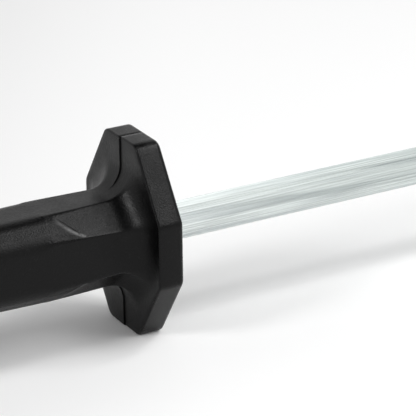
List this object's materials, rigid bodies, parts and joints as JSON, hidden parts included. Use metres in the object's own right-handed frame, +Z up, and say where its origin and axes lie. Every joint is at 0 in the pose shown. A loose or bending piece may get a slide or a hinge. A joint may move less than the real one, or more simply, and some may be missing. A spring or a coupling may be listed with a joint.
{
  "type": "knife sharpening steel",
  "caption": "Ribbed round sharpening steel with an octagonal hand guard, a moulded plastic grip and a hanging ring.",
  "frame": {"origin": "on the rod's axis, at the front face of the hand guard", "axes": "+X along the rod to its tip, +Z up with the guard standing on its short bottom side, handle towards -X"},
  "size_m": [0.3885, 0.048, 0.0634],
  "materials": {
    "rod_steel": "drawn lengthways, ribbed",
    "handle_plastic": "satin moulded",
    "ring_steel": "bright plated wire"
  },
  "bodies": {
    "steel": {"steel_rod": "rod_steel", "handle": "handle_plastic"},
    "ring": {"hanging_ring": "ring_steel"}
  },
  "joints": [
    {"name": "ring_swing", "type": "hinge", "parent": "steel", "child": "ring", "pos_m": [-0.13, 0, 0], "axis": [0, 1, 0], "range_deg": [-36, 216]}
  ]
}
